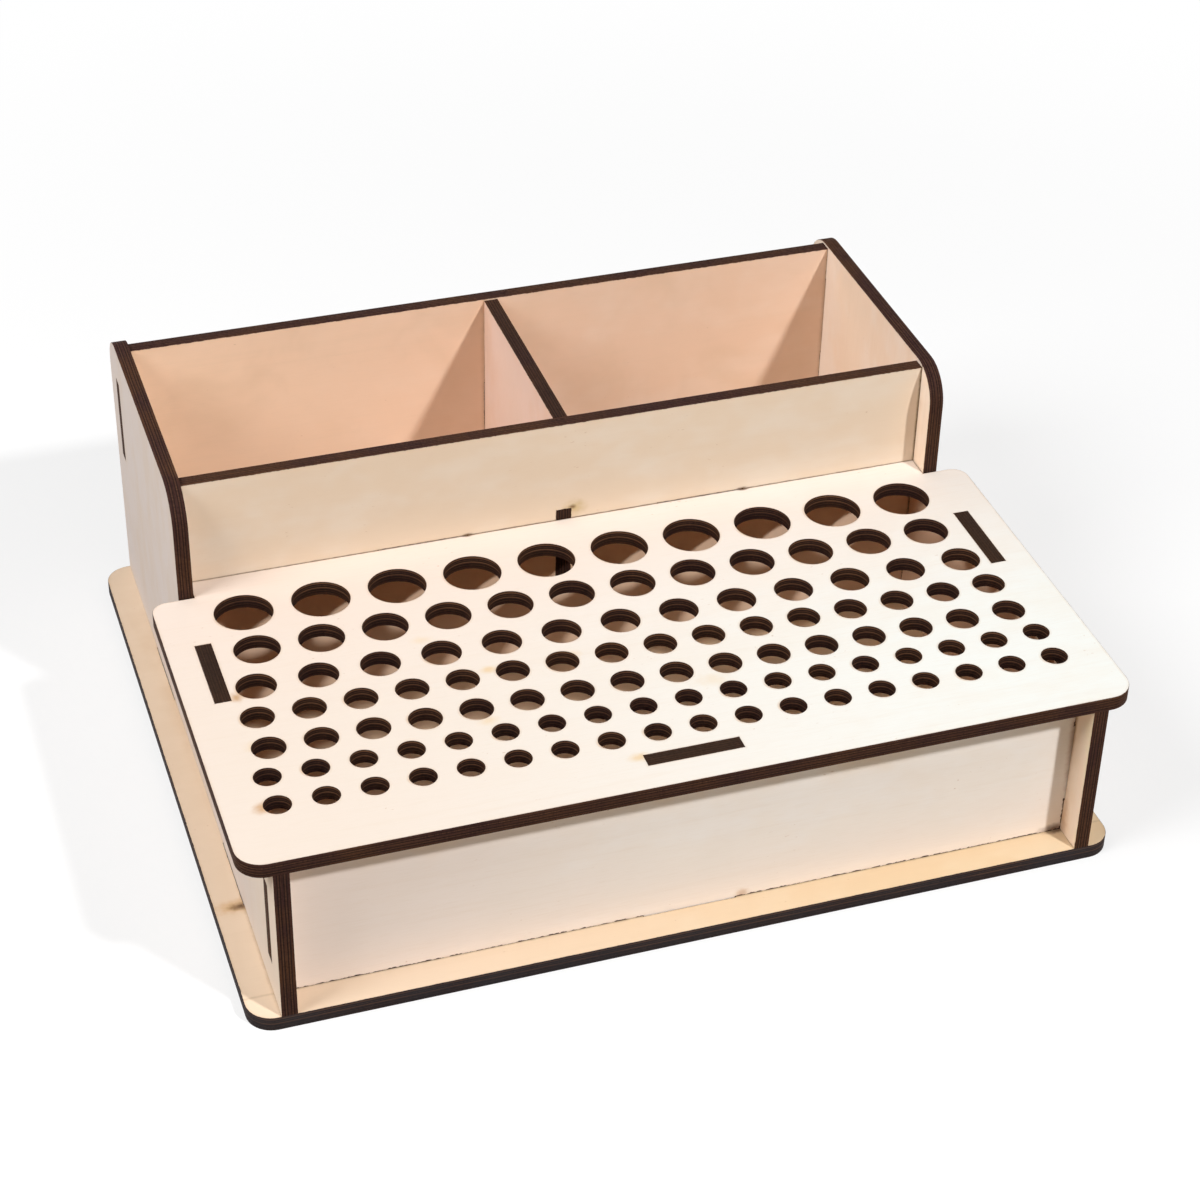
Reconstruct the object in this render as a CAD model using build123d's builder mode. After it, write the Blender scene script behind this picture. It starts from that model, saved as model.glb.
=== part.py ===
"""Bench rack of laser-cut plywood: a stepped stand with a drilled plate for upright tools and two bins behind it.

Millimetres, +Z up. The front faces -Y, the origin is at the centre of the footprint on the table,
and every board is placed where it sits in the finished rack.
"""

import os
from build123d import *

os.makedirs("parts", exist_ok=True)

# Overall size
rack_width = 270.0
rack_depth = 232.0
rack_height = 99.0

# Boards and their joints
ply = 4.7  # thickness of every board
tab_length = 29.0  # every tab, along the edge that it stands on
slot_play = 0.2  # how much longer and wider a slot is than its tab
edge_gap = 0.2  # between edges that pass each other without touching

# Base and hole plate
plate_top = 62.0  # height of the hole plate's upper face
plate_corner = 8.0  # radius of the base's corners and of the hole plate's front ones
ear_corner = 5.0  # radius of the hole plate's ears, where they meet the tall part

# Side panels
side_inset = 9.0  # from the base's side edge in to the panel's outer face
shoulder_depth = 127.5  # from the front edge back to the tall part
top_corner = 12.0  # radius of the tall part's upper corners
foot_tab_inset = 64.2  # from each end of the panel to the middle of its foot tab
plate_tab_setback = 39.2  # from the tall part forward to the middle of the upper tab

# Cross panels
panel_overhang = 10.0  # side panels beyond the front panel, and beyond the back panel
bin_setback = 8.3  # from the tall part's front edge back to the bin front panel
back_panel_drop = 0.8  # top of the back panel below the top of the side panels
bin_panel_drop = 1.4  # tops of the bin front panel and the divider below the same
back_tab_drop = 26.6  # from the back panel's top down to the middle of its side tabs
plate_tab_spacing = 92.9  # between the middles of the hole plate's two rear tabs

# Rows of tool holes, from the front: hole diameter, nominal spacing along the row,
# inset of the end holes from the plate's side edge, and step from the row before
hole_rows = [
    (8.0, 14.0, 16.0, 0.0),
    (8.0, 14.0, 16.0, 12.7),
    (10.0, 15.4, 19.3, 12.7),
    (10.0, 15.4, 19.3, 14.7),
    (12.0, 18.8, 22.2, 14.6),
    (14.0, 19.8, 26.4, 17.6),
    (18.0, 24.1, 26.6, 19.5),
]
front_row_inset = 23.8  # from the plate's front edge to the middle of the first row
back_row_setback = 11.9  # from the tall part forward to the middle of the last row

# Faces that the boards share
front_edge = -rack_depth / 2
back_edge = rack_depth / 2
shoulder = front_edge + shoulder_depth
plate_under = plate_top - ply
side_outer = rack_width / 2 - side_inset
side_inner = side_outer - ply
bin_panel_top = rack_height - bin_panel_drop
back_panel_top = rack_height - back_panel_drop

# Middle of each board's thickness
side_middle = (side_outer + side_inner) / 2
front_panel_y = front_edge + panel_overhang + ply / 2
bin_front_y = shoulder + bin_setback + ply / 2
back_panel_y = back_edge - panel_overhang - ply / 2

# Middles of the tabs
foot_tabs_y = [front_edge + foot_tab_inset, back_edge - foot_tab_inset]
plate_tab_y = shoulder - plate_tab_setback
low_tab_z = (ply + plate_under) / 2
back_tab_z = back_panel_top - back_tab_drop
divider_tab_z = (ply + bin_panel_top) / 2
divider_foot_y = (bin_front_y + back_panel_y) / 2
rear_tabs_x = [-plate_tab_spacing / 2, plate_tab_spacing / 2]

slot_length = tab_length + slot_play
slot_width = ply + slot_play

# Base plate, which is the floor of the bins too
with BuildPart() as base_plate:
    with BuildSketch(Plane.XY):
        outline = Rectangle(rack_width, rack_depth)
        fillet(outline.vertices(), plate_corner)
        with Locations([(x, y) for x in (-side_middle, side_middle) for y in foot_tabs_y]):
            Rectangle(slot_width, slot_length, mode=Mode.SUBTRACT)
        with Locations((0, front_panel_y), (0, back_panel_y)):
            Rectangle(slot_length, slot_width, mode=Mode.SUBTRACT)
        with Locations([(x, bin_front_y) for x in rear_tabs_x]):
            Rectangle(slot_length, slot_width, mode=Mode.SUBTRACT)
        with Locations((0, divider_foot_y)):
            Rectangle(slot_width, slot_length, mode=Mode.SUBTRACT)
    extrude(amount=ply)

# Side panel, low in front under the hole plate and tall behind it
with BuildPart() as right_side_panel:
    with BuildSketch(Plane.YZ.offset(side_inner)):
        with BuildLine():
            Polyline(
                (front_edge, ply),
                (back_edge, ply),
                (back_edge, rack_height),
                (shoulder, rack_height),
                (shoulder, plate_under),
                (front_edge, plate_under),
                close=True,
            )
        outline = make_face()
        fillet(outline.vertices().group_by(Axis.Y)[-1], top_corner)
        with Locations([(y, ply / 2) for y in foot_tabs_y]):
            Rectangle(tab_length, ply)
        with Locations((plate_tab_y, (plate_under + plate_top) / 2)):
            Rectangle(tab_length, ply)
        with Locations((front_panel_y, low_tab_z), (bin_front_y, low_tab_z), (back_panel_y, back_tab_z)):
            Rectangle(slot_width, slot_length, mode=Mode.SUBTRACT)
    extrude(amount=ply)

with BuildPart() as left_side_panel:
    mirror(right_side_panel.part, about=Plane.YZ)

# Plate with the tool holes, whose ears overhang the side panels
with BuildPart() as hole_plate:
    with BuildSketch(Plane.XY.offset(plate_under)) as plate_outline:
        ear_depth = shoulder_depth - edge_gap
        with Locations((0, front_edge + ear_depth / 2)):
            Rectangle(rack_width, ear_depth)
        fillet(plate_outline.vertices().group_by(Axis.Y)[0], plate_corner)
        fillet(plate_outline.vertices().group_by(Axis.Y)[-1], ear_corner)
        tongue_back = bin_front_y - ply / 2
        with Locations((0, (plate_tab_y + tongue_back) / 2)):
            Rectangle(2 * (side_inner - edge_gap), tongue_back - plate_tab_y)
        with Locations([(x, bin_front_y) for x in rear_tabs_x]):
            Rectangle(tab_length, ply)
        with Locations((-side_middle, plate_tab_y), (side_middle, plate_tab_y)):
            Rectangle(slot_width, slot_length, mode=Mode.SUBTRACT)
        with Locations((0, front_panel_y)):
            Rectangle(slot_length, slot_width, mode=Mode.SUBTRACT)
        # the steps share out the room between the first row and the last
        row_room = shoulder_depth - back_row_setback - front_row_inset
        step_total = sum(step for _, _, _, step in hole_rows)
        row_y = front_edge + front_row_inset
        for diameter, spacing, inset, step in hole_rows:
            row_y += row_room * step / step_total
            row_length = rack_width - 2 * inset
            gaps = round(row_length / spacing)
            with Locations((0, row_y)):
                with GridLocations(row_length / gaps, 0, gaps + 1, 1):
                    Circle(diameter / 2, mode=Mode.SUBTRACT)
    extrude(amount=ply)

# Low panel that closes the space under the hole plate
with BuildPart() as front_panel:
    with BuildSketch(Plane.XZ.offset(-front_panel_y)):
        with Locations((0, low_tab_z)):
            Rectangle(2 * side_inner, plate_under - ply)
            Rectangle(2 * side_outer, tab_length)
        with Locations((0, plate_top / 2)):
            Rectangle(tab_length, plate_top)
    extrude(amount=ply / 2, both=True)

# Panel between the tool holes and the bins
with BuildPart() as bin_front_panel:
    with BuildSketch(Plane.XZ.offset(-bin_front_y)):
        with Locations((0, (ply + bin_panel_top) / 2)):
            Rectangle(2 * side_inner, bin_panel_top - ply)
        with Locations((0, low_tab_z)):
            Rectangle(2 * side_outer, tab_length)
        with Locations([(x, ply / 2) for x in rear_tabs_x]):
            Rectangle(tab_length, ply)
        with Locations([(x, (plate_under + plate_top) / 2) for x in rear_tabs_x]):
            Rectangle(slot_length, slot_width, mode=Mode.SUBTRACT)
        with Locations((0, divider_tab_z)):
            Rectangle(slot_width, slot_length, mode=Mode.SUBTRACT)
    extrude(amount=ply / 2, both=True)

# Rear wall of the bins
with BuildPart() as back_panel:
    with BuildSketch(Plane.XZ.offset(-back_panel_y)):
        with Locations((0, (ply + back_panel_top) / 2)):
            Rectangle(2 * side_inner, back_panel_top - ply)
        with Locations((0, back_tab_z)):
            Rectangle(2 * side_outer, tab_length)
        with Locations((0, ply / 2)):
            Rectangle(tab_length, ply)
        with Locations((0, divider_tab_z)):
            Rectangle(slot_width, slot_length, mode=Mode.SUBTRACT)
    extrude(amount=ply / 2, both=True)

# Wall between the two bins
with BuildPart() as bin_divider:
    with BuildSketch(Plane.YZ):
        divider_length = back_panel_y - bin_front_y - ply
        with Locations((divider_foot_y, (ply + bin_panel_top) / 2)):
            Rectangle(divider_length, bin_panel_top - ply)
        with Locations((divider_foot_y, divider_tab_z)):
            Rectangle(divider_length + 2 * ply, tab_length)
        with Locations((divider_foot_y, ply / 2)):
            Rectangle(tab_length, ply)
    extrude(amount=ply / 2, both=True)

base_plate.part.label = "base_plate"
left_side_panel.part.label = "left_side_panel"
right_side_panel.part.label = "right_side_panel"
hole_plate.part.label = "hole_plate"
front_panel.part.label = "front_panel"
bin_front_panel.part.label = "bin_front_panel"
back_panel.part.label = "back_panel"
bin_divider.part.label = "bin_divider"

export_step(base_plate.part, "parts/base_plate.step")
export_step(left_side_panel.part, "parts/left_side_panel.step")
export_step(right_side_panel.part, "parts/right_side_panel.step")
export_step(hole_plate.part, "parts/hole_plate.step")
export_step(front_panel.part, "parts/front_panel.step")
export_step(bin_front_panel.part, "parts/bin_front_panel.step")
export_step(back_panel.part, "parts/back_panel.step")
export_step(bin_divider.part, "parts/bin_divider.step")
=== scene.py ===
import math
import random

import bmesh
import bpy
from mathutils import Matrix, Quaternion, Vector
from mathutils.kdtree import KDTree


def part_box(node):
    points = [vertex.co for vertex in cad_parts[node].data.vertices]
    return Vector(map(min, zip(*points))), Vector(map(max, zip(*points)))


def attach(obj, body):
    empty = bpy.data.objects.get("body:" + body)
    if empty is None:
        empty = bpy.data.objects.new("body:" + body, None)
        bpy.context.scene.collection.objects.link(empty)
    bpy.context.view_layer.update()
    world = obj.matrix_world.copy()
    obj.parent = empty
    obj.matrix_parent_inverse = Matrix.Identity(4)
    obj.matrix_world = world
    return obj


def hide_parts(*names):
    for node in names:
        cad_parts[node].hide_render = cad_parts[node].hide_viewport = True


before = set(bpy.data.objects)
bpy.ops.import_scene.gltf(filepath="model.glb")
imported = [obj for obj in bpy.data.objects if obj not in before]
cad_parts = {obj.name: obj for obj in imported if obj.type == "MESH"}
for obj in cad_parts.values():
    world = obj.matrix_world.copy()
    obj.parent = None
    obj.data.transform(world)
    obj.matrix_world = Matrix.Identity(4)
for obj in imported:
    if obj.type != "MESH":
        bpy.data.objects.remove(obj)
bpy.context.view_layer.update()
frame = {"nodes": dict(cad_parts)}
mm = 0.001
xAxis, yAxis, zAxis = 0, 1, 2
print("frame loaded:", ", ".join(frame["nodes"]))


# Short helpers for building node trees
def newMaterial(name):
    material = bpy.data.materials.new(name)
    material.use_nodes = True
    tree = material.node_tree
    return material, tree, tree.nodes["Principled BSDF"]


def addNode(tree, kind, **settings):
    node = tree.nodes.new(kind)
    for key, value in settings.items():
        setattr(node, key, value)
    return node


def feed(tree, socket, value):
    if isinstance(value, bpy.types.NodeSocket):
        tree.links.new(value, socket)
    elif socket.type == "RGBA" and len(value) == 3:
        socket.default_value = (*value, 1.0)
    else:
        socket.default_value = value


def calc(tree, operation, first, second=0.0, clamp=False):
    node = addNode(tree, "ShaderNodeMath", operation=operation, use_clamp=clamp)
    feed(tree, node.inputs[0], first)
    feed(tree, node.inputs[1], second)
    return node.outputs[0]


def fade(tree, value, start, end, low=0.0, high=1.0, smooth=True):
    node = addNode(tree, "ShaderNodeMapRange", interpolation_type="SMOOTHSTEP" if smooth else "LINEAR")
    for socket, item in zip(node.inputs, (value, start, end, low, high)):
        feed(tree, socket, item)
    return node.outputs[0]


def mixColour(tree, share, first, second):
    node = addNode(tree, "ShaderNodeMix", data_type="RGBA")
    feed(tree, node.inputs["Factor"], share)
    sockets = [socket for socket in node.inputs if socket.type == "RGBA"]
    feed(tree, sockets[0], first)
    feed(tree, sockets[1], second)
    return next(socket for socket in node.outputs if socket.type == "RGBA")


def moved(tree, place, location, scale, kind="POINT"):
    mapping = addNode(tree, "ShaderNodeMapping", vector_type=kind)
    mapping.inputs["Location"].default_value = location
    mapping.inputs["Scale"].default_value = scale
    feed(tree, mapping.inputs["Vector"], place)
    return mapping.outputs[0]


def grainNoise(tree, place, grain, shift, along, across, detail=2.0, roughness=0.5, distortion=0.0):
    node = addNode(tree, "ShaderNodeTexNoise")
    node.inputs["Scale"].default_value = 1.0
    node.inputs["Detail"].default_value = detail
    node.inputs["Roughness"].default_value = roughness
    node.inputs["Distortion"].default_value = distortion
    scales = [along if axis == grain else across for axis in range(3)]
    feed(tree, node.inputs["Vector"], moved(tree, place, shift, scales))
    return node.outputs["Fac"]


def drawPatterns(tree, place, grain, seed, look):
    shift = [seed * step for step in look["seedSteps"]]
    patterns = look["patterns"].items()
    return {name: grainNoise(tree, place, grain, shift, **values) for name, values in patterns}


def roughen(tree, shader, height, strength, depth):
    bump = addNode(tree, "ShaderNodeBump")
    bump.inputs["Strength"].default_value = strength
    bump.inputs["Distance"].default_value = depth
    feed(tree, bump.inputs["Height"], height)
    feed(tree, shader.inputs["Normal"], bump.outputs[0])


# Brown or black spots from a cut's smoke and fire, and some that are painted shade in gaps and slots: an oval
# round a place, with a ragged rim
spotLook = {
    "rim": (0.35, 1.30),  # where in the oval the colour begins to fade, and where it is gone
    "raggedness": 0.7,
}


def burnAndShadeSpots(tree, place, ragged, spots, colour):
    ragged = calc(tree, "MULTIPLY", ragged, spotLook["raggedness"])
    for spot in spots:
        length = addNode(tree, "ShaderNodeVectorMath", operation="LENGTH")
        feed(tree, length.inputs[0], moved(tree, place, spot["place"], spot["size"], "TEXTURE"))
        reach = calc(tree, "ADD", length.outputs["Value"], ragged)
        share = fade(tree, reach, *spotLook["rim"], spot["share"], 0.0)
        colour = mixColour(tree, share, colour, spot["colour"])
    return colour


# The sides of the boards that face the two rooms in the rack: painted shade under the hole plate, and painted
# bounce light in the bins
roomLook = {
    # brown painted shade on the faces under the hole plate
    "underPlateShade": (0.83, 0.55, 0.37),
    # paler wood in the bins, painted bounce light that lightens the shade there
    "binBounceLight": (0.93, 0.80, 0.67),
    "margin": 0.1 * mm,
}


def insideRoom(tree, place, front, back, top):
    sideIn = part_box("right_side_panel")[0][xAxis]
    low = Vector((-sideIn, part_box(front)[1][yAxis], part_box("base_plate")[1][zAxis]))
    high = Vector((sideIn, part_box(back)[0][yAxis], top))
    half = (high - low) / 2 + Vector((1, 1, 1)) * roomLook["margin"]
    size = addNode(tree, "ShaderNodeVectorMath", operation="ABSOLUTE")
    feed(tree, size.inputs[0], moved(tree, place, (low + high) / 2, half, "TEXTURE"))
    parts = addNode(tree, "ShaderNodeSeparateXYZ")
    feed(tree, parts.inputs[0], size.outputs[0])
    farthest = calc(tree, "MAXIMUM", parts.outputs[0], parts.outputs[1])
    farthest = calc(tree, "MAXIMUM", farthest, parts.outputs[2])
    return calc(tree, "LESS_THAN", farthest, 1.0)


# Pale face veneer, with its grain, the brown halo beside each cut and the charred line at it, and painted
# shade and painted bounce light in the rack's two rooms.
# A pattern is a noise: how fine it is along the grain and across it, and how it is worked.
# The other groups of two or four numbers say where a value begins and ends to show, and the share at both.
veneerLook = {
    "darkFibre": (0.70, 0.53, 0.37),
    "blotch": (0.66, 0.46, 0.30),
    "speck": (0.50, 0.30, 0.17),
    "halo": (0.58, 0.37, 0.20),
    "char": (0.040, 0.017, 0.012),
    "patterns": {
        "broad": {"along": 5, "across": 26, "detail": 3, "distortion": 0.6},
        "streaks": {"along": 9, "across": 330, "detail": 5, "roughness": 0.62, "distortion": 0.5},
        "fibres": {"along": 150, "across": 3600},
        "clouds": {"along": 34, "across": 34, "detail": 3, "roughness": 0.55, "distortion": 0.4},
        "specks": {"along": 520, "across": 1500, "detail": 1},
        "speckFields": {"along": 60, "across": 60, "detail": 1},
        "mottle": {"along": 55, "across": 90, "roughness": 0.6},
        "ragged": {"along": 420, "across": 420, "detail": 3},
        "patches": {"along": 120, "across": 120},
        "dashes": {"along": 520, "across": 520, "detail": 3, "roughness": 0.6},
    },
    "seedSteps": (3.7, 5.3, 2.9),
    "mottle": 0.9,
    "warmTone": (0.32, 0.70),
    "endWander": 0.03,  # how far the clouds move the drift of colour towards a board's ends, in metres
    "blotched": (0.42, 0.74),
    "streaked": (0.50, 0.80),
    "fibred": (0.45, 0.78, 0.0, 0.10),
    "specked": (0.735, 0.80),
    "speckedFields": (0.50, 0.66),
    "speckShare": 0.5,
    "haloWidth": (0.1, 1.05, 0.28, 0.0),  # from the cut inwards, in millimetres
    "haloPatches": (0.3, 0.7, 0.30, 1.0),
    "smearPatches": (0.25, 0.6, 0.4, 1.0),
    "charDashes": (0.35, 0.68),
    "charCore": 0.5,  # how much of the charred line's width is wholly black
    "matt": (0.3, 0.7, 0.56, 0.70),
    "specular": 0.16,
    "fibreHeight": 0.6,
    "streakHeight": 0.8,
    "bump": (0.35, 0.06 * mm),  # strength and depth
}


def veneerMaterial(name, board):
    look = veneerLook
    material, tree, shader = newMaterial(name)
    place = addNode(tree, "ShaderNodeTexCoord").outputs["Object"]
    noise = drawPatterns(tree, place, board["grain"], board["seed"], look)

    mottle = calc(tree, "MULTIPLY", calc(tree, "SUBTRACT", noise["mottle"], 0.5), look["mottle"])
    tone = calc(tree, "ADD", noise["broad"], mottle)
    colour = mixColour(tree, fade(tree, tone, *look["warmTone"]), board["pale"], board["warm"])
    parts = addNode(tree, "ShaderNodeSeparateXYZ")
    feed(tree, parts.inputs[0], place)
    wander = calc(tree, "MULTIPLY", noise["clouds"], look["endWander"])
    for end in board["ends"]:  # a board's colour drifts towards its ends; on the front panel one drift is painted bounce light and one is painted shade
        reach = calc(tree, "ADD", parts.outputs[end["axis"]], wander)
        colour = mixColour(tree, fade(tree, reach, *end["between"], end["share"], 0.0), colour, end["colour"])
    blotches = fade(tree, noise["clouds"], *look["blotched"], 0.0, board["blotches"])
    colour = mixColour(tree, blotches, colour, look["blotch"])
    streaks = fade(tree, noise["streaks"], *look["streaked"], 0.0, board["streaks"])
    colour = mixColour(tree, streaks, colour, look["darkFibre"])
    colour = mixColour(tree, fade(tree, noise["fibres"], *look["fibred"]), colour, look["darkFibre"])
    specks = fade(tree, noise["specks"], *look["specked"])
    specks = calc(tree, "MULTIPLY", specks, fade(tree, noise["speckFields"], *look["speckedFields"]))
    colour = mixColour(tree, calc(tree, "MULTIPLY", specks, look["speckShare"]), colour, look["speck"])

    # painted shade: faces under the hole plate turn brown, by each board's share
    underPlate = insideRoom(tree, place, "front_panel", "bin_front_panel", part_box("hole_plate")[0][zAxis])
    colour = mixColour(tree, calc(tree, "MULTIPLY", underPlate, board["underPlateShadeShare"]), colour, roomLook["underPlateShade"])
    # painted bounce light: faces in the bins turn paler, by each board's share
    inBins = insideRoom(tree, place, "bin_front_panel", "back_panel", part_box("back_panel")[1][zAxis])
    colour = mixColour(tree, calc(tree, "MULTIPLY", inBins, board["binBounceLightShare"]), colour, roomLook["binBounceLight"])
    colour = burnAndShadeSpots(tree, place, noise["ragged"], board["spots"], colour)

    # both layers are painted on the mesh in cutBoard
    distance = addNode(tree, "ShaderNodeAttribute", attribute_name="cutDistance").outputs["Fac"]
    mark = addNode(tree, "ShaderNodeAttribute", attribute_name="scorch").outputs["Fac"]
    halo = fade(tree, distance, *look["haloWidth"])
    halo = calc(tree, "MULTIPLY", halo, fade(tree, noise["patches"], *look["haloPatches"]))
    colour = mixColour(tree, halo, colour, look["halo"])
    smear = calc(tree, "MULTIPLY", mark, fade(tree, noise["patches"], *look["smearPatches"]))
    colour = mixColour(tree, smear, colour, look["halo"])
    burntTo = fade(tree, noise["dashes"], *look["charDashes"], *board["charred"])
    core = calc(tree, "MULTIPLY", burntTo, look["charCore"])
    burnt = calc(tree, "SUBTRACT", 1.0, fade(tree, distance, core, burntTo))
    colour = mixColour(tree, burnt, colour, look["char"])
    feed(tree, shader.inputs["Base Color"], colour)

    feed(tree, shader.inputs["Roughness"], fade(tree, noise["fibres"], *look["matt"]))
    shader.inputs["Specular IOR Level"].default_value = look["specular"]
    height = calc(tree, "MULTIPLY", noise["fibres"], look["fibreHeight"])
    height = calc(tree, "ADD", height, calc(tree, "MULTIPLY", noise["streaks"], look["streakHeight"]))
    roughen(tree, shader, height, *look["bump"])
    return material


# Burnt edge of a sheet, with its plies and the fine ribs that the laser's pulses leave.
# Along is through the sheet here, and lines and widths are shares of its thickness.
edgeLook = {
    "soot": (0.012, 0.0060, 0.0050),
    "plum": (0.040, 0.0165, 0.0150),
    "umber": (0.070, 0.030, 0.0155),
    "toasted": (0.150, 0.072, 0.038),
    "patterns": {
        "wander": {"along": 45, "across": 45},
        "ribs": {"along": 260, "across": 5200, "roughness": 0.6},
        "layers": {"along": 2600, "across": 70, "detail": 3, "roughness": 0.6},
        "burn": {"along": 38, "across": 38, "detail": 4, "roughness": 0.6},
        "crust": {"along": 1400, "across": 1400, "detail": 3},
        "ragged": {"along": 420, "across": 420, "detail": 3},
    },
    "seedSteps": (2.3, 4.1, 6.7),
    "plyWander": 0.10,
    "glueLines": (0.22, 0.38, 0.62, 0.78),
    "glueWidth": (0.018, 0.058),
    "glueShare": 0.82,
    "plyBegins": (0.01, 0.03),  # outside its glue line and inside it
    "umberFrom": (0.36, 0.64),
    "plyLight": (0.0, 1.0, 0.10, 0.52),
    "ribLight": (0.32, 0.72),
    "layersLight": (0.52, 0.74, 0.0, 0.35),
    "layersDark": (0.26, 0.46, 0.55, 0.0),
    "crustDark": (0.50, 0.75, 0.0, 0.45),
    # soot and painted shade on the walls of round holes
    "holeSootAndShade": 0.32,
    "holeLines": (0.54, 0.88),  # lighter lines that the walls of round holes show
    "holeLineWidth": (0.015, 0.055),
    "holeLineShare": (0.35, 0.6, 0.45, 1.0),
    "sootAndSheenFrom": (0.3, 0.7),
    "matt": (0.3, 0.7, 0.62, 0.86),
    "specular": 0.06,
    "crustHeight": 0.5,
    "glueHeight": 0.8,
    "bump": (0.5, 0.08 * mm),  # strength and depth
}


def linesAcross(tree, depth, lines, width):
    shown = 0.0
    for line in lines:
        away = calc(tree, "ABSOLUTE", calc(tree, "SUBTRACT", depth, line))
        shown = calc(tree, "MAXIMUM", shown, fade(tree, away, *width, 1.0, 0.0))
    return shown


def edgeMaterial(name, axis, low, thickness, board):
    look, sootAndSheen = edgeLook, board.get("sootAndSheen")
    material, tree, shader = newMaterial(name)
    place = addNode(tree, "ShaderNodeTexCoord").outputs["Object"]
    noise = drawPatterns(tree, place, axis, board["seed"], look)
    parts = addNode(tree, "ShaderNodeSeparateXYZ")
    feed(tree, parts.inputs[0], place)
    depth = fade(tree, parts.outputs[axis], low, low + thickness, smooth=False)
    wander = calc(tree, "MULTIPLY", calc(tree, "SUBTRACT", noise["wander"], 0.5), look["plyWander"])
    depth = calc(tree, "ADD", depth, wander)

    glue = linesAcross(tree, depth, look["glueLines"], look["glueWidth"])
    endGrain = 0.0  # every other ply shows the ends of its fibres, a little lighter
    outside, inside = look["plyBegins"]
    for start, end in (look["glueLines"][:2], look["glueLines"][2:]):
        rise = fade(tree, depth, start - outside, start + inside)
        fall = fade(tree, depth, end - inside, end + outside, 1.0, 0.0)
        endGrain = calc(tree, "MAXIMUM", endGrain, calc(tree, "MULTIPLY", rise, fall))

    colour = mixColour(tree, fade(tree, noise["burn"], *look["umberFrom"]), look["plum"], look["umber"])
    lighter = fade(tree, endGrain, *look["plyLight"])
    lighter = calc(tree, "MULTIPLY", lighter, fade(tree, noise["ribs"], *look["ribLight"]))
    colour = mixColour(tree, lighter, colour, look["toasted"])
    colour = mixColour(tree, fade(tree, noise["layers"], *look["layersLight"]), colour, look["toasted"])
    colour = mixColour(tree, fade(tree, noise["layers"], *look["layersDark"]), colour, look["soot"])
    colour = mixColour(tree, calc(tree, "MULTIPLY", glue, look["glueShare"]), colour, look["soot"])
    colour = mixColour(tree, fade(tree, noise["crust"], *look["crustDark"]), colour, look["soot"])
    bored = addNode(tree, "ShaderNodeAttribute", attribute_name="bored").outputs["Fac"]
    # hole walls darker: soot and painted shade
    colour = mixColour(tree, calc(tree, "MULTIPLY", bored, look["holeSootAndShade"]), colour, look["soot"])
    ring = calc(tree, "MULTIPLY", linesAcross(tree, depth, look["holeLines"], look["holeLineWidth"]), bored)
    ring = calc(tree, "MULTIPLY", ring, fade(tree, noise["burn"], *look["holeLineShare"]))
    colour = mixColour(tree, ring, colour, look["toasted"])
    if sootAndSheen:  # some boards burnt blacker than the rest; the base's greyer edges are partly painted sheen
        share = fade(tree, noise["wander"], *look["sootAndSheenFrom"], *sootAndSheen["share"])
        colour = mixColour(tree, share, colour, sootAndSheen["colour"])
    # black painted shade in the slots and gaps at the hole plate's height
    colour = burnAndShadeSpots(tree, place, noise["ragged"], board.get("slotShade", []), colour)
    feed(tree, shader.inputs["Base Color"], colour)

    feed(tree, shader.inputs["Roughness"], fade(tree, noise["crust"], *look["matt"]))
    shader.inputs["Specular IOR Level"].default_value = look["specular"]
    height = calc(tree, "ADD", noise["ribs"], calc(tree, "MULTIPLY", noise["crust"], look["crustHeight"]))
    height = calc(tree, "SUBTRACT", height, calc(tree, "MULTIPLY", glue, look["glueHeight"]))
    roughen(tree, shader, height, *look["bump"])
    return material


# What the laser leaves at the outline of every sheet
cutLook = {
    "rims": (0.22 * mm, 0.33 * mm, 0.5 * mm),  # bands along each outline, from the cut inwards
    "cornerBreak": 0.1 * mm,
    "cornerSteps": 2,
    "mergeGap": 0.002 * mm,
    "flat": 0.9,  # a face whose normal has more than this along the thickness is one of the two flat sides
    "veneered": 0.99,  # the same, once the corners are broken
    "sharpAngle": math.radians(35),
    "roundness": 0.02,  # how far a hole's points may differ in radius and still make a round hole
    "roundPoints": 12,  # a round hole has more points than this
    "leadAngle": math.radians(190),  # where round a hole its cut begins
    "leadWander": 0.5,
    "leadSpread": math.radians(26),
    "markedShare": 0.55,  # share of the holes whose starting point shows
    "markStrength": (0.25, 0.8),
    "slack": (1.05, 1.01),  # how much past its rims, and past its radius, a hole's points are looked for
    "seed": 41,
}


def outlineLoops(edges):
    left = set(edges)
    loops = []
    while left:
        edge = left.pop()
        start, point = edge.verts
        loop = [start]
        while point is not start:
            loop.append(point)
            edge = next(e for e in point.link_edges if e in left)
            left.discard(edge)
            point = edge.other_vert(point)
        loops.append(loop)
    return loops


def roundHoles(loops):
    holes = []
    for loop in loops:
        centre = sum((point.co for point in loop), Vector()) / len(loop)
        radii = [(point.co - centre).length for point in loop]
        isRound = max(radii) - min(radii) < cutLook["roundness"] * max(radii)
        if isRound and len(loop) > cutLook["roundPoints"]:
            holes.append((centre, max(radii)))
    return sorted(holes, key=lambda hole: (round(hole[0].y, 4), round(hole[0].x, 4)))


def addRims(sheet, up):
    # each rim is inset from the one before it, and the middle is filled again
    distance = sheet.verts.layers.float.new("cutDistance")
    inner = sheet.faces[:]
    reached = 0.0
    for width in cutLook["rims"]:
        bmesh.ops.inset_region(sheet, faces=inner, thickness=width, use_boundary=True, use_even_offset=True)
        middle = set(inner)
        border = [e for e in sheet.edges if len({face in middle for face in e.link_faces}) == 2]
        bmesh.ops.delete(sheet, geom=inner, context="FACES")
        reached += width
        for edge in border:
            for point in edge.verts:
                point[distance] = reached / mm
        filled = bmesh.ops.triangle_fill(sheet, use_beauty=True, edges=border, normal=up)["geom"]
        inner = [item for item in filled if isinstance(item, bmesh.types.BMFace)]


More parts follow.
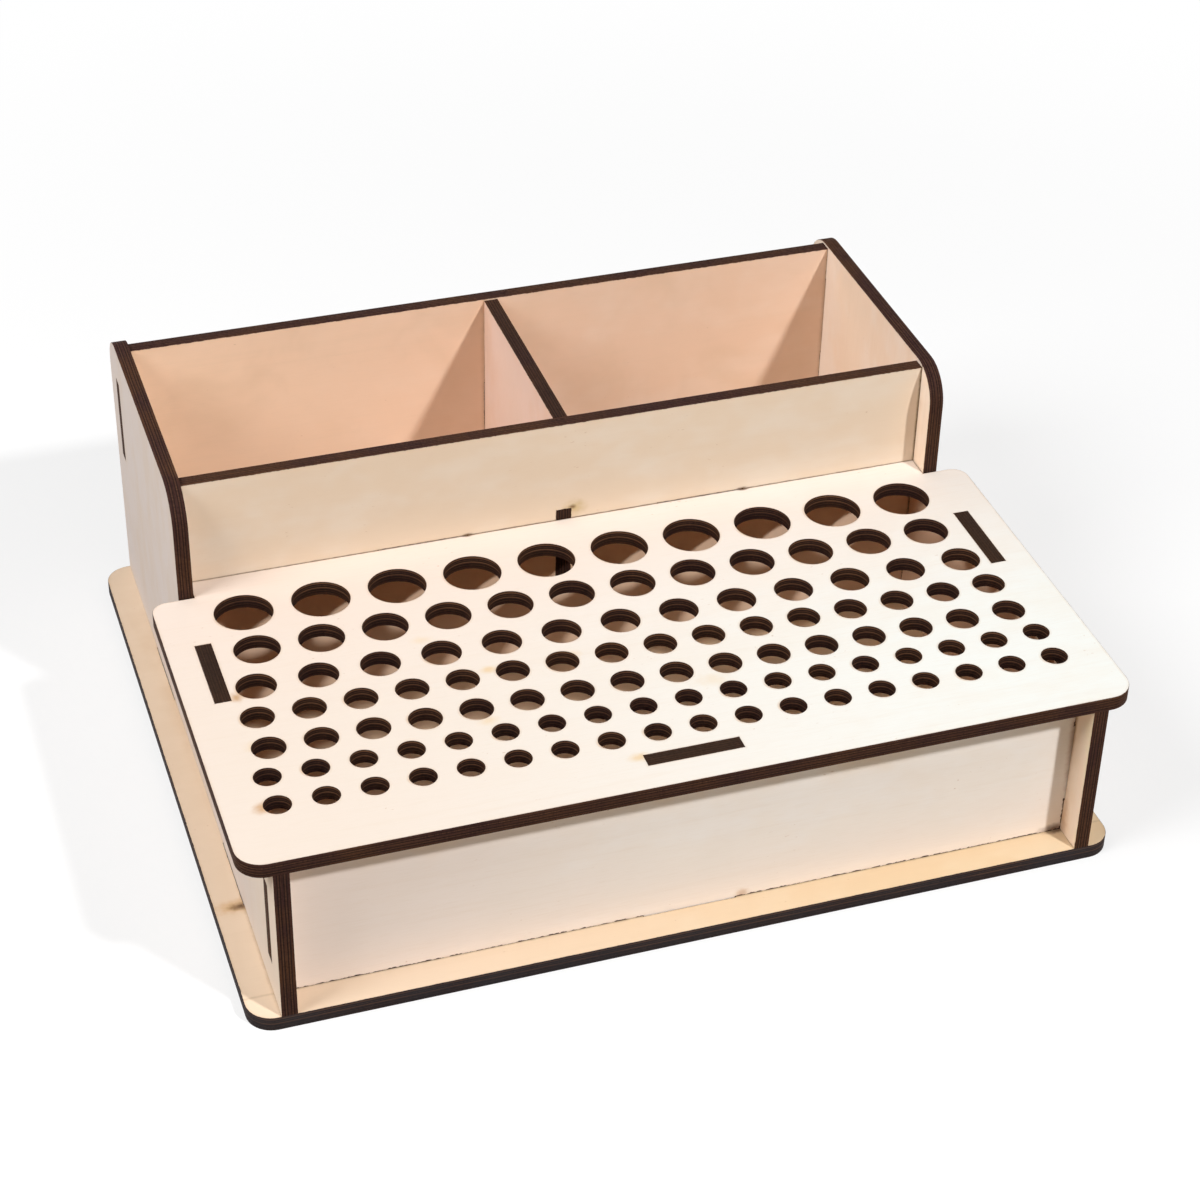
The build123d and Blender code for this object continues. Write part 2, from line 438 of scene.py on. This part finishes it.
def markCutStarts(sheet, holes, across):
    # a brown smear where the laser went in, on some of the holes
    chance = random.Random(cutLook["seed"])
    scorch = sheet.verts.layers.float.new("scorch")
    bored = sheet.verts.layers.float.new("bored")
    reach = sum(cutLook["rims"])
    rimSlack, wallSlack = cutLook["slack"]
    points = list(sheet.verts)
    tree = KDTree(len(points))
    for index, point in enumerate(points):
        tree.insert(point.co, index)
    tree.balance()
    for centre, radius in holes:
        isMarked = chance.random() < cutLook["markedShare"]
        strength = chance.uniform(*cutLook["markStrength"]) if isMarked else 0.0
        lead = cutLook["leadAngle"] + chance.uniform(-cutLook["leadWander"], cutLook["leadWander"])
        for _, index, away in tree.find_range(centre, radius + reach * rimSlack):
            offset = points[index].co - centre
            turn = math.atan2(offset[across[1]], offset[across[0]]) - lead
            turn = math.atan2(math.sin(turn), math.cos(turn)) / cutLook["leadSpread"]
            near = 1.0 - max(0.0, away - radius) / reach
            points[index][scorch] = strength * math.exp(-turn * turn) * near
            points[index][bored] = float(away < radius * wallSlack)


def cutBoard(nodeName, board):
    low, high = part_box(nodeName)
    spans = [high[i] - low[i] for i in range(3)]
    axis = spans.index(min(spans))
    across = [i for i in range(3) if i != axis]
    up = Vector([float(i == axis) for i in range(3)])
    sheet = bmesh.new()
    sheet.from_mesh(frame["nodes"][nodeName].data)
    bmesh.ops.remove_doubles(sheet, verts=sheet.verts, dist=cutLook["mergeGap"])
    sheet.normal_update()
    rest = [face for face in sheet.faces if face.normal[axis] < cutLook["flat"]]
    bmesh.ops.delete(sheet, geom=rest, context="FACES")  # one flat side of the board is left
    holes = roundHoles(outlineLoops([e for e in sheet.edges if len(e.link_faces) == 1]))
    addRims(sheet, up)
    markCutStarts(sheet, holes, across)

    raised = bmesh.ops.extrude_face_region(sheet, geom=sheet.faces[:], use_keep_orig=True)["geom"]
    lifted = [item for item in raised if isinstance(item, bmesh.types.BMVert)]
    bmesh.ops.translate(sheet, verts=lifted, vec=-up * spans[axis])
    bmesh.ops.recalc_face_normals(sheet, faces=sheet.faces)
    sheet.normal_update()
    corners = [e for e in sheet.edges if len(e.link_faces) == 2
               and sum(abs(face.normal[axis]) > cutLook["flat"] for face in e.link_faces) == 1]
    bmesh.ops.bevel(
        sheet, geom=corners, offset=cutLook["cornerBreak"], offset_type="OFFSET",
        segments=cutLook["cornerSteps"], profile=0.5, affect="EDGES", material=-1, clamp_overlap=True
    )
    sheet.normal_update()
    for face in sheet.faces:
        face.material_index = 0 if abs(face.normal[axis]) > cutLook["veneered"] else 1
        face.smooth = True
    for edge in sheet.edges:
        edge.smooth = edge.calc_face_angle(0.0) < cutLook["sharpAngle"]

    mesh = bpy.data.meshes.new(nodeName + "_cut")
    sheet.to_mesh(mesh)
    sheet.free()
    mesh.materials.append(veneerMaterial(nodeName + "_veneer", board))
    mesh.materials.append(edgeMaterial(nodeName + "_edge", axis, low[axis], spans[axis], board))
    piece = bpy.data.objects.new(nodeName + "_board", mesh)
    bpy.context.scene.collection.objects.link(piece)
    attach(piece, "root")
    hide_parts(nodeName)
    print("cut", nodeName, "with", len(holes), "round holes and", len(mesh.polygons), "faces")


basePlate = {
    "grain": xAxis,
    "seed": 1,
    "pale": (0.775, 0.610, 0.415),
    "warm": (0.755, 0.565, 0.360),
    "ends": [
        {"axis": xAxis, "between": (-0.1, 0.1), "share": 1, "colour": (0.795, 0.630, 0.475)},
    ],
    "underPlateShadeShare": 0.2,
    "binBounceLightShare": 1,
    # grey-blue edges: partly darker burn, partly painted sheen
    "sootAndSheen": {"share": (0.4, 0.65), "colour": (0.034, 0.036, 0.042)},
    "streaks": 0.14,
    "blotches": 0.06,
    "charred": (0.03, 0.24),  # width of the burnt line at the cuts, in millimetres
    "spots": [
        {"place": (-0.1275, -0.0665, 0.0047), "size": (0.013, 0.0042, 0.002),
         "share": 0.8, "colour": (0.62, 0.36, 0.14)},
        {"place": (-0.1264, -0.0667, 0.0047), "size": (0.0066, 0.0024, 0.002),
         "share": 1, "colour": (0.06, 0.025, 0.015)},
        {"place": (0.1205, -0.1060, 0.0047), "size": (0.008, 0.0024, 0.002),
         "share": 0.9, "colour": (0.14, 0.06, 0.03)},
        {"place": (-0.1260, -0.0900, 0.0047), "size": (0.0011, 0.06, 0.002),
         "share": 0.5, "colour": (0.45, 0.3, 0.18)},
        {"place": (0.0000, -0.1060, 0.0047), "size": (0.4, 0.0008, 0.002),
         "share": 0.5, "colour": (0.45, 0.33, 0.2)},
    ],
}
cutBoard("base_plate", basePlate)

leftSidePanel = {
    "grain": zAxis,
    "seed": 2,
    # black painted shade in the slots at the hole plate's height
    "slotShade": [{"place": (-0.1237, -0.0277, 0.062), "size": (0.07, 0.07, 0.004),
                 "share": 0.75, "colour": (0.024, 0.014, 0.009)}],
    "pale": (0.685, 0.610, 0.575),
    "warm": (0.670, 0.575, 0.510),
    "ends": [
        {"axis": yAxis, "between": (-0.115, -0.03), "share": 1, "colour": (0.785, 0.662, 0.545)},
    ],
    "underPlateShadeShare": 0.8,
    "binBounceLightShare": 1,
    "streaks": 0.14,
    "blotches": 0.05,
    "charred": (0.03, 0.24),
    "spots": [],
}
cutBoard("left_side_panel", leftSidePanel)

rightSidePanel = {
    "grain": zAxis,
    "seed": 3,
    # black painted shade in the slots at the hole plate's height
    "slotShade": [{"place": (0.1237, -0.0277, 0.062), "size": (0.07, 0.07, 0.004),
                 "share": 0.75, "colour": (0.024, 0.014, 0.009)}],
    "pale": (0.900, 0.750, 0.625),
    "warm": (0.885, 0.700, 0.545),
    "ends": [
        {"axis": yAxis, "between": (-0.104, -0.098), "share": 1, "colour": (0.895, 0.765, 0.560)},
    ],
    "underPlateShadeShare": 0.8,
    "binBounceLightShare": 0,
    "streaks": 0.16,
    "blotches": 0.05,
    "charred": (0.03, 0.24),
    "spots": [
        {"place": (0.1213, -0.1062, 0.0460), "size": (0.002, 0.0016, 0.034),
         "share": 0.6, "colour": (0.4, 0.19, 0.06)},
        {"place": (0.1213, -0.1065, 0.0100), "size": (0.002, 0.005, 0.014),
         "share": 0.55, "colour": (0.45, 0.22, 0.08)},
        {"place": (0.1213, 0.0198, 0.0800), "size": (0.002, 0.0006, 0.1),
         "share": 0.85, "colour": (0.2, 0.13, 0.06)},
    ],
}
cutBoard("right_side_panel", rightSidePanel)

holePlate = {
    "grain": xAxis,
    "seed": 4,
    "pale": (0.842, 0.850, 0.810),
    "warm": (0.836, 0.822, 0.765),
    "ends": [
        {"axis": xAxis, "between": (-0.12, 0.14), "share": 1, "colour": (0.802, 0.692, 0.598)},
        {"axis": yAxis, "between": (0.03, -0.06), "share": 0.6, "colour": (0.812, 0.675, 0.592)},
    ],
    "underPlateShadeShare": 1,
    "binBounceLightShare": 0,
    "streaks": 0.10,
    "blotches": 0.03,
    "charred": (0.02, 0.13),
    "spots": [
        {"place": (0.0000, 0.0198, 0.0620), "size": (0.4, 0.00052, 0.002),
         "share": 0.85, "colour": (0.16, 0.1, 0.06)},
        # painted shadow: black spots in the gaps at the ends of the plate's two tabs
        {"place": (-0.0319, 0.0196, 0.0620), "size": (0.0026, 0.001, 0.002),
         "share": 1, "colour": (0.1, 0.05, 0.03)},
        {"place": (0.0609, 0.0196, 0.0620), "size": (0.0026, 0.001, 0.002),
         "share": 1, "colour": (0.1, 0.05, 0.03)},
        {"place": (-0.0453, -0.0496, 0.0620), "size": (0.004, 0.0026, 0.002),
         "share": 0.75, "colour": (0.76, 0.54, 0.28)},
        {"place": (-0.0209, -0.0494, 0.0620), "size": (0.006, 0.003, 0.002),
         "share": 0.6, "colour": (0.76, 0.54, 0.28)},
        {"place": (-0.0523, -0.0732, 0.0620), "size": (0.005, 0.003, 0.002),
         "share": 0.45, "colour": (0.76, 0.54, 0.28)},
        {"place": (-0.0156, -0.1017, 0.0620), "size": (0.005, 0.003, 0.002),
         "share": 0.75, "colour": (0.76, 0.54, 0.28)},
        {"place": (-0.1196, -0.0412, 0.0620), "size": (0.003, 0.0036, 0.002),
         "share": 0.8, "colour": (0.5, 0.27, 0.1)},
        {"place": (-0.1236, -0.0927, 0.0620), "size": (0.004, 0.004, 0.002),
         "share": 0.8, "colour": (0.55, 0.3, 0.12)},
        {"place": (-0.1196, -0.0653, 0.0620), "size": (0.004, 0.004, 0.002),
         "share": 0.5, "colour": (0.76, 0.54, 0.28)},
        {"place": (0.0167, -0.0734, 0.0620), "size": (0.009, 0.005, 0.002),
         "share": 0.3, "colour": (0.76, 0.54, 0.28)},
        {"place": (-0.0606, -0.0296, 0.0620), "size": (0.005, 0.003, 0.002),
         "share": 0.35, "colour": (0.76, 0.54, 0.28)},
    ],
}
cutBoard("hole_plate", holePlate)

frontPanel = {
    "grain": xAxis,
    "seed": 5,
    # black painted shade in the slots where the tabs pass through the hole plate
    "slotShade": [{"place": (0.0, -0.1037, 0.062), "size": (0.07, 0.07, 0.004),
                 "share": 0.75, "colour": (0.024, 0.014, 0.009)}],
    "pale": (0.962, 0.910, 0.855),
    "warm": (0.952, 0.878, 0.800),
    "ends": [
        {"axis": xAxis, "between": (-0.11, 0.02), "share": 1, "colour": (0.868, 0.765, 0.700)},
        # painted bounce light: the panel's lower part is warmer, as if lit by the base in front of it
        {"axis": zAxis, "between": (0.022, 0.045), "share": 0.5, "colour": (0.935, 0.810, 0.725)},
        # painted shade: a darker, warmer band at the top, where the hole plate's edge casts its shadow
        {"axis": zAxis, "between": (0.070, 0.060), "share": 0.85, "colour": (0.925, 0.785, 0.635)},
    ],
    "underPlateShadeShare": 0.8,
    "binBounceLightShare": 0,
    "streaks": 0.10,
    "blotches": 0.05,
    "charred": (0.15, 0.75),
    "spots": [
        {"place": (0.0165, -0.1060, 0.0056), "size": (0.0036, 0.002, 0.0030),
         "share": 0.6, "colour": (0.55, 0.33, 0.18)},
        {"place": (0.1214, -0.1060, 0.0440), "size": (0.0024, 0.002, 0.034),
         "share": 0.6, "colour": (0.34, 0.16, 0.06)},
        {"place": (0.1195, -0.1060, 0.0052), "size": (0.008, 0.002, 0.003),
         "share": 0.9, "colour": (0.14, 0.06, 0.03)},
    ],
}
cutBoard("front_panel", frontPanel)

binFrontPanel = {
    "grain": xAxis,
    "seed": 6,
    "pale": (0.795, 0.665, 0.535),
    "warm": (0.780, 0.622, 0.472),
    "ends": [],
    "underPlateShadeShare": 0.6,
    "binBounceLightShare": 1,
    "streaks": 0.10,
    "blotches": 0.08,
    "charred": (0.05, 0.3),
    "spots": [
        {"place": (0.0000, 0.0198, 0.0620), "size": (0.4, 0.002, 0.00052),
         "share": 0.85, "colour": (0.16, 0.1, 0.06)},
        # painted shadow: black spots in the gaps at the ends of the plate's two tabs
        {"place": (-0.0319, 0.0198, 0.0622), "size": (0.0026, 0.002, 0.001),
         "share": 1, "colour": (0.12, 0.06, 0.03)},
        {"place": (0.0609, 0.0198, 0.0622), "size": (0.0026, 0.002, 0.001),
         "share": 1, "colour": (0.12, 0.06, 0.03)},
        {"place": (0.0037, 0.0198, 0.0658), "size": (0.0056, 0.002, 0.0046),
         "share": 0.75, "colour": (0.56, 0.4, 0.17)},
        {"place": (0.0029, 0.0198, 0.0663), "size": (0.0018, 0.002, 0.0014),
         "share": 0.9, "colour": (0.16, 0.08, 0.03)},
        {"place": (0.1213, 0.0198, 0.0800), "size": (0.001, 0.002, 0.1),
         "share": 0.9, "colour": (0.18, 0.12, 0.05)},
    ],
}
cutBoard("bin_front_panel", binFrontPanel)

backPanel = {
    "grain": xAxis,
    "seed": 7,
    "pale": (0.840, 0.615, 0.470),
    "warm": (0.825, 0.580, 0.425),
    "ends": [
        {"axis": xAxis, "between": (-0.1, 0.05), "share": 1, "colour": (0.900, 0.645, 0.465)},
    ],
    "underPlateShadeShare": 0,
    "binBounceLightShare": 0,
    "streaks": 0.12,
    "blotches": 0.30,
    "charred": (0.05, 0.3),
    "spots": [
        {"place": (0.1213, 0.1013, 0.0800), "size": (0.0016, 0.002, 0.1),
         "share": 0.3, "colour": (0.34, 0.2, 0.09)},
        {"place": (-0.0024, 0.1013, 0.0800), "size": (0.0016, 0.002, 0.1),
         "share": 0.26, "colour": (0.38, 0.22, 0.1)},
    ],
}
cutBoard("back_panel", backPanel)

binDivider = {
    "grain": zAxis,
    "seed": 8,
    "sootAndSheen": {"share": (0.3, 0.5), "colour": (0.014, 0.008, 0.007)},
    "pale": (0.812, 0.602, 0.512),
    "warm": (0.798, 0.565, 0.450),
    "ends": [],
    "underPlateShadeShare": 0,
    "binBounceLightShare": 0,
    "streaks": 0.10,
    "blotches": 0.10,
    "charred": (0.05, 0.3),
    "spots": [],
}
cutBoard("bin_divider", binDivider)


# One small lamp gives the shadows their edge, and large soft ones fill them
studio = {
    "floorSize": 6.0,
    "floorColour": (0.97, 0.97, 0.97),
    "floorRoughness": 0.9,
    "floorBounce": (0.36, 0.30, 0.24),  # how bright the floor is to everything but the camera
    "paperWhite": (0.63, 1.0),  # share of plain white in what the camera sees of the floor, near and far
    "whiteFrom": (0.22, 0.62),  # distances from the rack at which the two hold
    "skyColour": (1.0, 1.0, 1.0),
    "skyStrength": 0.075,
    "aim": (0.0, 0.0, 0.05),
}

lamps = {
    "key": {"place": (0.75, -1.32, 1.5), "size": 0.135, "power": 30.0, "colour": (1.0, 1.0, 1.0)},
    "highLeft": {"place": (-1.3, -0.3, 1.3), "size": 1.0, "power": 25.4, "colour": (1.0, 1.0, 1.0)},
    "backLeft": {"place": (-1.0, 1.1, 1.3), "size": 1.0, "power": 5.2, "colour": (1.0, 1.0, 1.0)},
    "lowFront": {"place": (0.7, -0.9, 0.3), "size": 0.5, "power": 0.5, "colour": (1.0, 1.0, 1.0)},
    "lowRight": {"place": (1.8, -0.7, 0.4), "size": 1.0, "power": 1.5, "colour": (1.0, 1.0, 1.0)},
}

camera = {
    "place": (-0.23160, -0.69250, 0.56905),
    "aim": (0.00726, 0.00335, 0.04),
    "roll": math.radians(1.254),
    "lens": 84.906,
    "sensor": 36.0,
    "clip": (0.01, 20.0),
}


def isSeenDirectly(tree):
    path = addNode(tree, "ShaderNodeLightPath")
    seen = calc(tree, "MAXIMUM", path.outputs["Is Camera Ray"], path.outputs["Is Glossy Ray"])
    return calc(tree, "MAXIMUM", seen, path.outputs["Is Transmission Ray"])


def layFloor():
    grid = bmesh.new()
    bmesh.ops.create_grid(grid, x_segments=1, y_segments=1, size=studio["floorSize"] / 2)
    mesh = bpy.data.meshes.new("floor")
    grid.to_mesh(mesh)
    grid.free()
    material, tree, shader = newMaterial("floor_paper")
    seen = isSeenDirectly(tree)
    paper = mixColour(tree, seen, studio["floorBounce"], studio["floorColour"])
    feed(tree, shader.inputs["Base Color"], paper)
    shader.inputs["Roughness"].default_value = studio["floorRoughness"]
    shader.inputs["Specular IOR Level"].default_value = 0.0
    away = addNode(tree, "ShaderNodeVectorMath", operation="LENGTH")
    feed(tree, away.inputs[0], addNode(tree, "ShaderNodeTexCoord").outputs["Object"])
    share = fade(tree, away.outputs["Value"], *studio["whiteFrom"], *studio["paperWhite"])
    white = addNode(tree, "ShaderNodeEmission")
    blend = addNode(tree, "ShaderNodeMixShader")
    feed(tree, blend.inputs["Fac"], calc(tree, "MULTIPLY", seen, share))
    feed(tree, blend.inputs[1], shader.outputs[0])
    feed(tree, blend.inputs[2], white.outputs[0])
    feed(tree, tree.nodes["Material Output"].inputs["Surface"], blend.outputs[0])
    mesh.materials.append(material)
    floor = bpy.data.objects.new("floor", mesh)
    bpy.context.scene.collection.objects.link(floor)


def hangLamps():
    world = bpy.data.worlds.new("studio")
    bpy.context.scene.world = world
    world.use_nodes = True
    tree = world.node_tree
    background = tree.nodes["Background"]
    seen = isSeenDirectly(tree)
    background.inputs["Color"].default_value = (*studio["skyColour"], 1.0)
    strength = fade(tree, seen, 0.0, 1.0, studio["skyStrength"], 1.0, smooth=False)
    feed(tree, background.inputs["Strength"], strength)
    for name, lamp in lamps.items():
        disc = bpy.data.lights.new(name, "AREA")
        disc.shape = "DISK"
        disc.size = lamp["size"]
        disc.energy = lamp["power"]
        disc.color = lamp["colour"]
        holder = bpy.data.objects.new(name, disc)
        holder.location = lamp["place"]
        holder.rotation_mode = "QUATERNION"
        holder.rotation_quaternion = (Vector(studio["aim"]) - holder.location).to_track_quat("-Z", "Y")
        bpy.context.scene.collection.objects.link(holder)


def placeCamera():
    lens = bpy.data.cameras.new("camera")
    lens.lens = camera["lens"]
    lens.sensor_width = camera["sensor"]
    lens.clip_start, lens.clip_end = camera["clip"]
    view = bpy.data.objects.new("camera", lens)
    place, aim = Vector(camera["place"]), Vector(camera["aim"])
    view.location = place
    view.rotation_mode = "QUATERNION"
    roll = Quaternion((0, 0, 1), camera["roll"])
    view.rotation_quaternion = (aim - place).to_track_quat("-Z", "Y") @ roll
    bpy.context.scene.collection.objects.link(view)
    bpy.context.scene.camera = view


layFloor()
hangLamps()
placeCamera()
bpy.context.scene.view_settings.view_transform = "Standard"
print("floor, lamps and camera ready")
